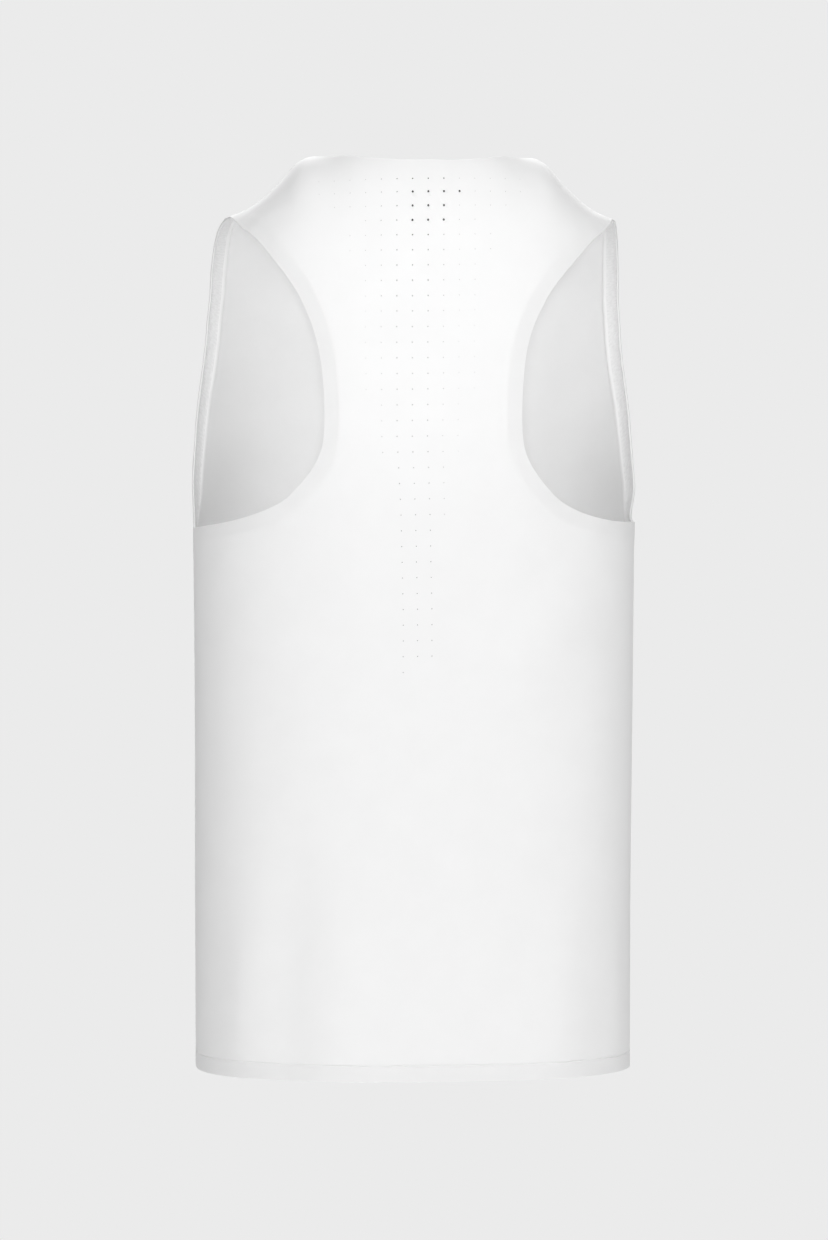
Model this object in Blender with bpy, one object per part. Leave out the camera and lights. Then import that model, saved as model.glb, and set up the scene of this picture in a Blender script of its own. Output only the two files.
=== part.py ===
"""Running singlet: a sleeveless racerback top in thin knit, in the hollow shape that it has when worn.

A back panel and a front panel wrap one smooth body form and meet at the shoulder and side seams.
A turned-up hem lies inside the lower edge of each, and a bonded elastic tape inside each armhole.
Metres, +Z up. The back faces -Y, the wearer's left is -X, and the origin is between the shoulders.
"""

import math
from collections import namedtuple

import bmesh
import bpy
import numpy as np
from mathutils import Vector

# Driving sizes
HELD_HEIGHT = 0.686  # from the hem up to the middle of the shoulder seams, where the origin is
SIDE_SEAM = 0.426  # length of the side seam, from the hem to the armhole
CLOTH_WALL = 0.0012
TAPE_WALL = 0.0010
TAPE_WIDTH = 0.010
HEM_DEPTH = 0.0125
SEAM_GAP = 0.0003  # between the two panels at a seam
LAYER_GAP = 0.0003  # between a panel and what is bonded inside it

# The body form: superellipse sections up the trunk, which close on to the shoulder line at the top.
# Its rise is measured over the cloth: it is the height as far as CLOSING_FROM, and TOP_RISE is the
# shoulder line, whatever the shoulder's own height is.
ROUNDNESS = 2.4  # exponent of a section: 2 is an ellipse, more is squarer
CLOSING_ROUNDNESS = 2.5
CLOSING_FROM = 0.590
CLOSING_LENGTH = 0.150
CLOSING_HEIGHT = 0.110  # the half axes of a typical closing curve, which set its even steps
CLOSING_DEPTH = 0.070
TOP_RISE = CLOSING_FROM + CLOSING_LENGTH
SHOULDER_FORWARD = -0.028  # place of the shoulder line, front to back
NECK_HALF_WIDTH = 0.091
TIP_HALF_WIDTH = 0.154

Section = namedtuple("Section", "rise half_width back_depth front_depth")
SECTIONS = (
    Section(0.000, 0.1700, 0.1175, 0.1130),
    Section(0.150, 0.1708, 0.1140, 0.1110),
    Section(0.300, 0.1725, 0.1145, 0.1140),
    Section(0.426, 0.1740, 0.1185, 0.1190),
    Section(0.464, 0.1795, 0.1200, 0.1186),
    Section(0.520, 0.1850, 0.1205, 0.1150),
    Section(0.606, 0.1880, 0.1160, 0.0980),
    Section(TOP_RISE, 0.1885, 0.1080, 0.0740),
)
Shoulder = namedtuple("Shoulder", "across height")
SHOULDER_LINE = (
    Shoulder(0.000, 0.7385),
    Shoulder(0.025, 0.7365),
    Shoulder(0.050, 0.7290),
    Shoulder(0.075, 0.7155),
    Shoulder(NECK_HALF_WIDTH, 0.7080),
    Shoulder(0.106, 0.6960),
    Shoulder(0.127, 0.6755),
    Shoulder(0.140, 0.6670),
    Shoulder(TIP_HALF_WIDTH, 0.6615),
    Shoulder(0.166, 0.6560),
    Shoulder(0.190, 0.6400),
)

# Edges of the cut on the body form. Each row gives two of its three places, and FORM is the one
# that the form gives. An armhole runs from the side seam to the tip of the shoulder, and a neck from
# the centre line to the shoulder.
FORM = None
Edge = namedtuple("Edge", "across forward height")
BACK_ARMHOLE = (
    Edge(0.1610, FORM, 0.4262),
    Edge(0.1420, FORM, 0.4280),
    Edge(0.1200, FORM, 0.4350),
    Edge(0.0990, FORM, 0.4480),
    Edge(0.0840, FORM, 0.4640),
    Edge(0.0765, FORM, 0.4850),
    Edge(0.0752, FORM, 0.5100),
    Edge(0.0780, FORM, 0.5480),
    Edge(0.0860, FORM, 0.5810),
    Edge(0.0990, FORM, 0.6080),
    Edge(0.1220, FORM, 0.6350),
    Edge(0.1410, FORM, 0.6500),
)
FRONT_ARMHOLE = (
    Edge(FORM, 0.0100, 0.4295),
    Edge(FORM, 0.0235, 0.4430),
    Edge(FORM, 0.0355, 0.4640),
    Edge(FORM, 0.0470, 0.4930),
    Edge(FORM, 0.0545, 0.5270),
    Edge(FORM, 0.0585, 0.5650),
    Edge(FORM, 0.0550, 0.6060),
    Edge(FORM, 0.0390, 0.6350),
    Edge(FORM, 0.0090, 0.6550),
)
BACK_NECK = (
    Edge(0.0000, -0.0915, FORM),
    Edge(0.0500, -0.0840, FORM),
    Edge(0.0750, -0.0690, FORM),
    Edge(0.0865, -0.0512, FORM),
    Edge(NECK_HALF_WIDTH, SHOULDER_FORWARD, FORM),
)
FRONT_NECK = (
    Edge(0.0000, FORM, 0.6100),
    Edge(0.0220, FORM, 0.6115),
    Edge(0.0450, FORM, 0.6200),
    Edge(0.0640, FORM, 0.6380),
    Edge(0.0780, 0.0640, FORM),
    Edge(0.0870, 0.0300, FORM),
    Edge(NECK_HALF_WIDTH, SHOULDER_FORWARD, FORM),
)

# Colours and roughness, and the angle from which an edge is shown sharp
KNIT = ((0.83, 0.83, 0.83), 0.75)
TAPE = ((0.78, 0.78, 0.79), 0.55)
CREASE = math.radians(40)

# Broad soft forms of the worn cloth: a ridge where lift is above 0, a trough where it is below.
# Each runs from a foot to a head, placed by the way round from the panel's centre line and the rise.
Fold = namedtuple("Fold", "foot_round foot_rise head_round head_rise spread lift")
BACK_FOLDS = (
    Fold(0.006, 0.300, 0.004, 0.660, 0.032, -0.0030),
    Fold(-0.064, 0.420, -0.056, 0.600, 0.024, 0.0022),
    Fold(0.066, 0.400, 0.058, 0.590, 0.024, 0.0024),
    Fold(0.030, 0.250, 0.140, 0.395, 0.022, 0.0024),
    Fold(-0.110, -0.040, -0.094, 0.220, 0.020, -0.0026),
    Fold(-0.064, -0.050, -0.058, 0.180, 0.022, 0.0020),
    Fold(0.114, -0.030, 0.106, 0.160, 0.024, 0.0018),
)
FRONT_FOLDS = (
    Fold(0.000, 0.300, 0.004, 0.560, 0.034, -0.0026),
    Fold(-0.124, 0.470, -0.050, 0.330, 0.022, 0.0024),
    Fold(0.128, 0.480, 0.060, 0.320, 0.024, 0.0022),
    Fold(0.074, -0.040, 0.090, 0.210, 0.022, -0.0026),
    Fold(-0.086, -0.030, -0.074, 0.150, 0.024, 0.0022),
)
FOLD_FADE = 0.080  # a fold dies out over this length at its ends, and towards a seam

# Rise of a row of faces at the centre line, for its share of the way up the armhole's tape
Level = namedtuple("Level", "share centre")
LEVEL_FROM = 0.200  # rows are level up to here, and below the armhole they bend down to the middle
BACK_LEVELS = (Level(0, 0.388), Level(0.24, 0.412), Level(0.33, 0.432))
FRONT_LEVELS = (Level(0, 0.398),)
COLUMNS = 14  # from a panel's centre line to its side seam, or to the inner line of its tape
NECK_COLUMNS = 10  # the ones of these that end on the neck edge
LOWER_ROWS = 15  # from the hem line up to the foot of the tape
UPPER_ROWS = 21  # from there up to the neck and the shoulder
TOP_PULL = 3  # power with which the upper rows bend to the neck's line, most at the top
TRIES = 601  # places that are tried on the form for a row of an edge
FINE_STEPS = 16  # between two rows of an edge
NUDGE = 0.0005  # step on the flat cut for a slope of the form
SAME = 1e-9

Side = namedtuple("Side", "name way armhole neck folds levels")
BACK = Side("back", -1, BACK_ARMHOLE, BACK_NECK, BACK_FOLDS, BACK_LEVELS)
FRONT = Side("front", 1, FRONT_ARMHOLE, FRONT_NECK, FRONT_FOLDS, FRONT_LEVELS)


def column_curve(table, given, wanted):
    """Reads one column of a table against another, along a smooth curve that overshoots no row."""
    at = np.array([getattr(row, given) for row in table])
    value = np.array([getattr(row, wanted) for row in table])
    rise = np.diff(value) / np.diff(at)
    slope = np.concatenate([rise[:1], rise])
    for i in range(1, len(at) - 1):
        level = rise[i - 1] * rise[i] <= 0
        slope[i] = 0 if level else 2 * rise[i - 1] * rise[i] / (rise[i - 1] + rise[i])

    def read(place):
        i = min(max(int(np.searchsorted(at, place)) - 1, 0), len(at) - 2)
        gap = at[i + 1] - at[i]
        return hermite(value[i], slope[i] * gap, value[i + 1], slope[i + 1] * gap, (place - at[i]) / gap)

    return read


def hermite(start, start_slope, end, end_slope, s):
    """A cubic from start to end, with these slopes there, at s from 0 to 1."""
    from_start = start * (1 + 2 * s) * (1 - s) ** 2 + start_slope * s * (1 - s) ** 2
    return from_start + end * s * s * (3 - 2 * s) + end_slope * s * s * (s - 1)


def quarter_round(exponent, first, second):
    """A superellipse's quarter as shares of its two half axes, at even steps over its length."""
    angle = np.linspace(0, math.pi / 2, 721)
    rising = np.sin(angle) ** (2 / exponent)
    falling = np.cos(angle) ** (2 / exponent)
    falling[-1] = 0
    steps = np.hypot(np.diff(rising) * first, np.diff(falling) * second)
    length = np.concatenate([[0], np.cumsum(steps)])
    return length / length[-1], rising, falling, length[-1]


half_width = column_curve(SECTIONS, "rise", "half_width")
depth = {
    "back": column_curve(SECTIONS, "rise", "back_depth"),
    "front": column_curve(SECTIONS, "rise", "front_depth"),
}
shoulder_height = column_curve(SHOULDER_LINE, "across", "height")
TURN, TURN_ACROSS, TURN_DEPTH, QUARTER_GIRTH = quarter_round(
    ROUNDNESS, SECTIONS[0].half_width, SECTIONS[0].back_depth
)
CLOSING, CLOSING_UP, CLOSING_OPEN, _ = quarter_round(
    CLOSING_ROUNDNESS, CLOSING_HEIGHT, CLOSING_DEPTH
)


def form_point(side, flat):
    """The point of the body form at a point of the flat cut: its way round from the centre, and rise."""
    turn, rise = abs(flat[0]) / QUARTER_GIRTH, flat[1]
    across = half_width(rise) * np.interp(turn, TURN, TURN_ACROSS)
    forward = side.way * depth[side.name](rise) * np.interp(turn, TURN, TURN_DEPTH)
    height = rise
    if rise > CLOSING_FROM:
        closed = (rise - CLOSING_FROM) / CLOSING_LENGTH
        room = shoulder_height(across) - CLOSING_FROM
        height = CLOSING_FROM + room * np.interp(closed, CLOSING, CLOSING_UP)
        still_open = np.interp(closed, CLOSING, CLOSING_OPEN)
        forward = SHOULDER_FORWARD + (forward - SHOULDER_FORWARD) * still_open
    return Vector((math.copysign(across, flat[0]), forward, height))


def flat_cut(across, rise):
    """The point of the flat cut that lies this far across, at this rise."""
    turn = np.interp(across / half_width(rise), TURN_ACROSS, TURN)
    return np.array([turn * QUARTER_GIRTH, rise])


def flat_at_height(across, height):
    rise = height
    if height > CLOSING_FROM:
        share = (height - CLOSING_FROM) / (shoulder_height(across) - CLOSING_FROM)
        rise = CLOSING_FROM + CLOSING_LENGTH * np.interp(min(share, 1), CLOSING_UP, CLOSING)
    return flat_cut(across, rise)


def flat_of(side, edge):
    """The point of the flat cut for a row of an edge."""
    if edge.forward is FORM:
        return flat_at_height(edge.across, edge.height)
    if edge.height is FORM:
        rises = np.linspace(CLOSING_FROM, TOP_RISE, TRIES)
        tries = [flat_cut(edge.across, rise) for rise in rises]
    else:
        widths = np.linspace(NECK_HALF_WIDTH, half_width(edge.height), TRIES)
        covered = [width for width in widths if shoulder_height(width) > edge.height]
        tries = [flat_at_height(width, edge.height) for width in covered]
    reached = np.array([form_point(side, flat).y for flat in tries])
    order = np.argsort(reached)
    found = [np.interp(edge.forward, reached[order], np.array(tries)[order, k]) for k in (0, 1)]
    return np.array(found)


def even_points(side, line, count):
    """Points of the flat cut at this count of even steps over the cloth, on a smooth line through these."""
    line = np.array(line)
    at = np.concatenate([[0], np.cumsum(np.linalg.norm(np.diff(line, axis=0), axis=1))])
    slope = np.gradient(line, at, axis=0)
    fine = [line[0]]
    for i in range(len(line) - 1):
        gap = at[i + 1] - at[i]
        for s in np.linspace(0, 1, FINE_STEPS + 1)[1:]:
            fine.append(hermite(line[i], slope[i] * gap, line[i + 1], slope[i + 1] * gap, s))
    places = np.array([form_point(side, flat) for flat in fine])
    length = np.concatenate([[0], np.cumsum(np.linalg.norm(np.diff(places, axis=0), axis=1))])
    even = np.linspace(0, length[-1], count + 1)
    return np.stack([np.interp(even, length, np.array(fine)[:, k]) for k in (0, 1)], axis=1)


def armhole_edge(side):
    """The armhole's edge on the flat cut, from the side seam to the tip of the shoulder."""
    line = [np.array([QUARTER_GIRTH, SIDE_SEAM])]
    line += [flat_of(side, row) for row in side.armhole]
    line.append(flat_cut(TIP_HALF_WIDTH, TOP_RISE))
    return even_points(side, line, UPPER_ROWS)


def tape_line(side, edge):
    """The line where the tape along an armhole's edge ends, one tape width away over the cloth."""
    line = [np.array([QUARTER_GIRTH, SIDE_SEAM - TAPE_WIDTH])]
    along = np.gradient(edge, axis=0)
    for i in range(1, len(edge) - 1):
        here = form_point(side, edge[i])
        round_way = (form_point(side, edge[i] + np.array([NUDGE, 0])) - here) / NUDGE
        rise_way = (form_point(side, edge[i] + np.array([0, NUDGE])) - here) / NUDGE
        edge_way = round_way * along[i][0] + rise_way * along[i][1]
        inward = np.array([-rise_way.dot(edge_way), round_way.dot(edge_way)])
        step = TAPE_WIDTH / (round_way * inward[0] + rise_way * inward[1]).length
        for _ in range(3):
            step *= TAPE_WIDTH / (form_point(side, edge[i] + inward * step) - here).length
        line.append(edge[i] + inward * step)
    fall = shoulder_height(TIP_HALF_WIDTH - TAPE_WIDTH) - shoulder_height(TIP_HALF_WIDTH)
    across = TIP_HALF_WIDTH - TAPE_WIDTH / math.hypot(1, fall / TAPE_WIDTH)
    return np.array(line + [flat_cut(across, TOP_RISE)])


def top_line(side, tape_top):
    """A panel's top on the flat cut, from the centre line along the neck and then the shoulder seam."""
    line = [flat_of(side, row) for row in side.neck[:-1]]
    line.append(flat_cut(NECK_HALF_WIDTH, TOP_RISE))
    neck = even_points(side, line, NECK_COLUMNS)
    seam = even_points(side, [neck[-1], tape_top], COLUMNS - NECK_COLUMNS)
    return np.concatenate([neck, seam[1:]])


def half_grid(side, line):
    """Rows of points of the flat cut from the centre line outwards, up to the tape's inner line."""
    lower = np.linspace(HEM_DEPTH, SIDE_SEAM - TAPE_WIDTH, LOWER_ROWS + 1)
    outer = [np.array([QUARTER_GIRTH, rise]) for rise in (0.0, *lower[:-1])] + list(line)
    share = np.linspace(0, 1, COLUMNS + 1)
    top = top_line(side, line[-1])
    levels = side.levels + (Level(1, top[0][1]),)
    drop = SIDE_SEAM - TAPE_WIDTH - levels[0].centre
    bend = SIDE_SEAM - TAPE_WIDTH - LEVEL_FROM
    rows = []
    for number, end in enumerate(outer):
        centre = end[1] - drop * soft_step((end[1] - LEVEL_FROM) / bend)
        if number > LOWER_ROWS:
            done = (number - LOWER_ROWS - 1) / UPPER_ROWS
            centre = np.interp(done, [row.share for row in levels], [row.centre for row in levels])
        rows.append(np.stack([share * end[0], centre + share * (end[1] - centre)], axis=1))
    off = top - rows[-1]
    for number in range(UPPER_ROWS + 1):
        rows[number - UPPER_ROWS - 1] += off * (number / UPPER_ROWS) ** TOP_PULL
    return rows


def fold_lift(side, flat):
    """How far the folds move the cloth out at a point of the flat cut."""
    lift = 0.0
    for fold in side.folds:
        foot = Vector((fold.foot_round, fold.foot_rise))
        run = Vector((fold.head_round, fold.head_rise)) - foot
        way = run.normalized()
        from_foot = Vector(flat) - foot
        along = from_foot.dot(way)
        aside = from_foot.x * way.y - from_foot.y * way.x
        ends = soft_step(along / FOLD_FADE) * soft_step((run.length - along) / FOLD_FADE)
        lift += fold.lift * ends * math.exp(-((aside / fold.spread) ** 2))
    to_side = soft_step((QUARTER_GIRTH - abs(flat[0])) / FOLD_FADE)
    return lift * to_side * soft_step((TOP_RISE - flat[1]) / FOLD_FADE)


def soft_step(s):
    s = min(max(s, 0), 1)
    return s * s * (3 - 2 * s)


class Panel:
    """A panel's outer face, its normals, and the inner points that the layers inside it are made from."""

    def __init__(self, side):
        edge = armhole_edge(side)
        grid = half_grid(side, tape_line(side, edge))
        self.mesh = bmesh.new()
        self.flats = {}
        self.seam = set()
        self.rows = []
        for row in grid:
            half = [(-flat[0], flat[1]) for flat in row[:0:-1]] + [tuple(flat) for flat in row]
            self.rows.append([self.point(side, flat) for flat in half])
        self.edges = {
            "left": [self.point(side, (-flat[0], flat[1])) for flat in edge],
            "right": [self.point(side, tuple(flat)) for flat in edge],
        }
        self.skin()
        self.fold(side)
        self.mesh.normal_update()
        self.normal = {point: self.wall_way(point) for point in self.mesh.verts}

    def point(self, side, flat):
        """A point of the panel. On a seam it stands back by half the gap."""
        place = form_point(side, flat)
        on_side = abs(abs(flat[0]) - QUARTER_GIRTH) < SAME
        on_shoulder = abs(flat[1] - TOP_RISE) < SAME
        if on_side or on_shoulder:
            place.y = (SHOULDER_FORWARD if on_shoulder else 0) + side.way * SEAM_GAP / 2
        place.z -= HELD_HEIGHT
        point = self.mesh.verts.new(place)
        self.flats[point] = flat
        if on_side or on_shoulder:
            self.seam.add(point)
        return point

    def skin(self):
        """Faces between the rows, and along each armhole between the tape's inner line and the edge."""
        nets = [self.rows]
        first = len(self.rows) - 1 - UPPER_ROWS
        for name, column in (("left", 0), ("right", -1)):
            inner = [row[column] for row in self.rows[first:]]
            nets.append([inner, self.edges[name]])
        for net in nets:
            for low, high in zip(net, net[1:]):
                for i in range(len(low) - 1):
                    self.mesh.faces.new((low[i], low[i + 1], high[i + 1], high[i]))
        bmesh.ops.recalc_face_normals(self.mesh, faces=self.mesh.faces)

    def fold(self, side):
        self.mesh.normal_update()
        middle = self.rows[2][COLUMNS]
        if middle.normal.y * side.way < 0:
            bmesh.ops.reverse_faces(self.mesh, faces=self.mesh.faces)
            self.mesh.normal_update()
        moves = {point: point.normal * fold_lift(side, flat) for point, flat in self.flats.items()}
        for point, move in moves.items():
            point.co += move

    def wall_way(self, point):
        """The way out of the cloth at a point. On a seam it keeps to the seam's plane for an even gap."""
        way = point.normal.copy()
        if point in self.seam:
            way.y = 0
        return way.normalized()

    def inside(self, point, depth):
        return point.co - self.normal[point] * depth

    def solid(self):
        """The panel's closed wall, with the outer face as its skin."""
        mesh = bmesh.new()
        outer = {point: mesh.verts.new(point.co) for point in self.mesh.verts}
        inner = {point: mesh.verts.new(self.inside(point, CLOTH_WALL)) for point in self.mesh.verts}
        for face in self.mesh.faces:
            mesh.faces.new([outer[point] for point in face.verts])
            mesh.faces.new([inner[point] for point in reversed(face.verts)])
        for edge in self.mesh.edges:
            if edge.is_boundary:
                first, second = edge.verts
                mesh.faces.new((outer[first], outer[second], inner[second], inner[first]))
        return mesh


def band(stations, closed):
    """A closed strip through stations of four points each, and capped at its ends unless it is a ring."""
    mesh = bmesh.new()
    rings = [[mesh.verts.new(point) for point in station] for station in stations]
    for low, high in zip(rings, rings[1:] + (rings[:1] if closed else [])):
        for i in range(4):
            j = (i + 1) % 4
            mesh.faces.new((low[i], low[j], high[j], high[i]))
    if not closed:
        mesh.faces.new(rings[0])
        mesh.faces.new(rings[-1])
    return mesh


def layer_station(panel, first, second, wall):
    """Four points across a strip of this wall that is bonded inside a panel from one point to another."""
    near = CLOTH_WALL + LAYER_GAP
    far = near + wall
    return [
        panel.inside(first, near),
        panel.inside(second, near),
        panel.inside(second, far),
        panel.inside(first, far),
    ]


def hem(panel):
    """The turned-up layer inside a panel's lower edge, as far as the hem line."""
    pairs = zip(panel.rows[0], panel.rows[1])
    return band([layer_station(panel, low, high, CLOTH_WALL) for low, high in pairs], closed=False)


def armhole_tape(back, front, name):
    """The tape's ring: up the back from the side seam to the shoulder, and down the front."""
    column = 0 if name == "left" else -1
    halves = []
    for panel in (back, front):
        inner = [row[column] for row in panel.rows[-UPPER_ROWS - 1 :]]
        pairs = zip(panel.edges[name], inner)
        halves.append([layer_station(panel, edge, line, TAPE_WALL) for edge, line in pairs])
    up, down = halves[0], halves[1][::-1]
    at_shoulder = [(a + b) / 2 for a, b in zip(up[-1], down[0])]
    at_side = [(a + b) / 2 for a, b in zip(up[0], down[-1])]
    return band([at_side, *up[1:-1], at_shoulder, *down[1:-1]], closed=True)


def material(name, colour, roughness):
    """A plain cloth surface."""
    made = bpy.data.materials.new(name)
    made.use_nodes = True
    shader = made.node_tree.nodes["Principled BSDF"]
    shader.inputs["Base Color"].default_value = (*colour, 1)
    shader.inputs["Roughness"].default_value = roughness
    shader.inputs["Metallic"].default_value = 0
    return made


def add_node(name, mesh, finish):
    """Closes a piece's mesh with its faces pointing out, and puts it in the scene."""
    bmesh.ops.recalc_face_normals(mesh, faces=mesh.faces)
    bmesh.ops.triangulate(mesh, faces=mesh.faces)
    data = bpy.data.meshes.new(name)
    mesh.to_mesh(data)
    mesh.free()
    data.shade_smooth()
    data.set_sharp_from_angle(angle=CREASE)
    data.materials.append(finish)
    node = bpy.data.objects.new(name, data)
    bpy.context.scene.collection.objects.link(node)
    return node


def main():
    for old in list(bpy.data.objects):
        bpy.data.objects.remove(old)
    back, front = Panel(BACK), Panel(FRONT)
    for name, panel in (("back", back), ("front", front)):
        add_node(f"{name}_panel", panel.solid(), material(f"{name}_knit", *KNIT))
        add_node(f"hem_{name}", hem(panel), material(f"hem_{name}_knit", *KNIT))
    for name in ("left", "right"):
        add_node(f"armhole_tape_{name}", armhole_tape(back, front, name), material(f"tape_{name}", *TAPE))


main()
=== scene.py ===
# %% [markdown]
# # A running singlet, filled out as if worn
# A racing singlet is two flat pieces of thin knit, a back and a front. They are joined at the
# sides and shoulders, the lower edge is turned up into a hem, and a soft elastic tape is bonded
# inside each armhole. This lesson works in the maker's order: it cuts the cloth flat, punches the
# fine holes of the back, and only then wraps each piece round a body form. The cloth could be
# sculpted in place, but a flat cut keeps the knit, the holes and the seams where the real ones
# run.

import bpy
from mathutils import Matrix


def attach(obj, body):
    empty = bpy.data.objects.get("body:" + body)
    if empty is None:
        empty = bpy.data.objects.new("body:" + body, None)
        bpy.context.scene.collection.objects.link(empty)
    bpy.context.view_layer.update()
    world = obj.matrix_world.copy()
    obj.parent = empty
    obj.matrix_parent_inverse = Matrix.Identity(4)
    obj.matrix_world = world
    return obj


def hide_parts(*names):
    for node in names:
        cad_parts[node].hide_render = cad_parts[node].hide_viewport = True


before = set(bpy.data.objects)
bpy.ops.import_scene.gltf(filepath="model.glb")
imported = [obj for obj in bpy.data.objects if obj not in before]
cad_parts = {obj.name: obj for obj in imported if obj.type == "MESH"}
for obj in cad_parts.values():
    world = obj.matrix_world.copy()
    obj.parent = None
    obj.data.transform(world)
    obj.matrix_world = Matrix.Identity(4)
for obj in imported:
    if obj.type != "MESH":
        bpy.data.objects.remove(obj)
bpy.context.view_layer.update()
print("Solid pieces:", ", ".join(sorted(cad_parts)))

# %% Tools for the lesson
import math
from collections import namedtuple

import bmesh
import bpy
import numpy as np
from mathutils import Matrix, Vector, kdtree, noise

MM = 0.001

# %% [markdown]
# ## The body form
# The cloth lies on a smooth trunk with no limbs. Its sections are superellipses, a little squarer
# than ellipses, and near the top they close on to the line of the shoulders. The sizes are the
# solid model's to a few millimetres. Worn cloth hangs a little lopsided: it sways to one side, and
# one underarm rides up. A lofted surface would do too, but a formula also says where any point of
# the flat cloth ends up, and that is what the wrapping needs.

# %% Sizes of the form
HELD_HEIGHT = 0.686  # the hem lies this far below the origin, which is between the shoulders
SIDE_SEAM = 0.426  # from the hem up to the armhole
TAPE_WIDTH = 0.012
HEM_DEPTH = 0.0125
ROUNDNESS = 2.4  # exponent of a section: 2 is an ellipse, more is squarer
CLOSING_ROUNDNESS = 2.5
CLOSING_FROM = 0.590
CLOSING_LENGTH = 0.150
CLOSING_HEIGHT = 0.110  # half axes of a typical closing curve, which set its even steps
CLOSING_DEPTH = 0.070
TOP_RISE = CLOSING_FROM + CLOSING_LENGTH
SHOULDER_FORWARD = -0.028
SWAY = 0.0036  # the shoulders hang this far to one side
SWAY_OVER = {"back": (0.560, 0.680), "front": (SIDE_SEAM, 0.676)}
HITCH = 0.0028  # one underarm is higher than the other by twice this
HITCH_REACH = 0.050  # up and down the side
LOW_FLARE = 0.0016  # and one side of the skirt stands out by this much
LOW_FLARE_RISE = (0.320, 0.120)
LOW_FLARE_ROUND = (0, -0.120)
WAY_OUT = {"back": -1, "front": 1}  # along Y
ROUND_STEPS = 720  # in which a quarter of a section is measured

Section = namedtuple("Section", "rise half_width back_depth front_depth")
SECTIONS = [Section(*row) for row in (
    (0.000, 0.1700, 0.1175, 0.1130),
    (0.150, 0.1708, 0.1140, 0.1110),
    (0.300, 0.1725, 0.1145, 0.1140),
    (0.426, 0.1740, 0.1185, 0.1190),
    (0.464, 0.1795, 0.1200, 0.1186),
    (0.520, 0.1850, 0.1205, 0.1150),
    (0.606, 0.1880, 0.1160, 0.0980),
    (TOP_RISE, 0.1885, 0.1080, 0.0740),
)]
Shoulder = namedtuple("Shoulder", "across height")
SHOULDER_LINE = [Shoulder(*row) for row in (
    (0.000, 0.7385), (0.025, 0.7365), (0.050, 0.7290), (0.075, 0.7155), (0.091, 0.7110),
    (0.098, 0.7064), (0.106, 0.6971), (0.116, 0.6867), (0.127, 0.6770), (0.140, 0.6689),
    (0.154, 0.6637), (0.166, 0.6572), (0.190, 0.6400),
)]


# %% Read the tables along smooth curves
def cubic(start, start_slope, end, end_slope, s):
    """A cubic from start to end, with these slopes at its ends, at s from 0 to 1."""
    from_start = start * (1 + 2 * s) * (1 - s) ** 2 + start_slope * s * (1 - s) ** 2
    return from_start + end * s * s * (3 - 2 * s) + end_slope * s * s * (s - 1)


def smooth_column(table, given, wanted):
    """Reads one column of a table against another. The curve overshoots no row."""
    at = np.array([getattr(row, given) for row in table])
    value = np.array([getattr(row, wanted) for row in table])
    rise = np.diff(value) / np.diff(at)
    slope = np.concatenate([rise[:1], np.zeros(len(at) - 2), rise[-1:]])
    for i in range(1, len(at) - 1):
        if rise[i - 1] * rise[i] > 0:
            slope[i] = 2 * rise[i - 1] * rise[i] / (rise[i - 1] + rise[i])

    def read(place):
        i = np.clip(np.searchsorted(at, place) - 1, 0, len(at) - 2)
        gap = at[i + 1] - at[i]
        share = (place - at[i]) / gap
        return cubic(value[i], slope[i] * gap, value[i + 1], slope[i + 1] * gap, share)

    return read


half_width = smooth_column(SECTIONS, "rise", "half_width")
depth = {side: smooth_column(SECTIONS, "rise", f"{side}_depth") for side in WAY_OUT}
shoulder_height = smooth_column(SHOULDER_LINE, "across", "height")


# %% Put points of the flat cloth on the form
def soft_step(s):
    """Rises from 0 to 1 as s does, with level ends."""
    s = np.clip(s, 0, 1)
    return s * s * (3 - 2 * s)


def ramp(value, start, end):
    """Grows softly from 0 at the start to 1 at the end."""
    return soft_step((value - start) / (end - start))


def quarter_round(exponent, first, second):
    """A quarter of a superellipse, as shares of its half axes at shares of its length."""
    angle = np.linspace(0, math.pi / 2, ROUND_STEPS + 1)
    rising = np.sin(angle) ** (2 / exponent)
    falling = np.maximum(np.cos(angle), 0) ** (2 / exponent)
    falling[-1] = 0
    steps = np.hypot(np.diff(rising) * first, np.diff(falling) * second)
    length = np.concatenate([[0], np.cumsum(steps)])
    return length / length[-1], rising, falling, length[-1]


TURN, TURN_ACROSS, TURN_DEPTH, QUARTER_GIRTH = quarter_round(
    ROUNDNESS, SECTIONS[0].half_width, SECTIONS[0].back_depth
)
CLOSING, CLOSING_UP, CLOSING_OPEN, _ = quarter_round(
    CLOSING_ROUNDNESS, CLOSING_HEIGHT, CLOSING_DEPTH
)


def lopsided(side, around, rise):
    """How far the worn cloth hangs to one side, and how far up."""
    flare = LOW_FLARE * ramp(rise, *LOW_FLARE_RISE) * ramp(around, *LOW_FLARE_ROUND)
    to_side = np.copysign(soft_step(2 * np.abs(around) / QUARTER_GIRTH - 1), around)
    hitch = HITCH * to_side * np.exp(-(((rise - SIDE_SEAM) / HITCH_REACH) ** 2))
    return SWAY * ramp(rise, *SWAY_OVER[side]) - flare, hitch


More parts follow.
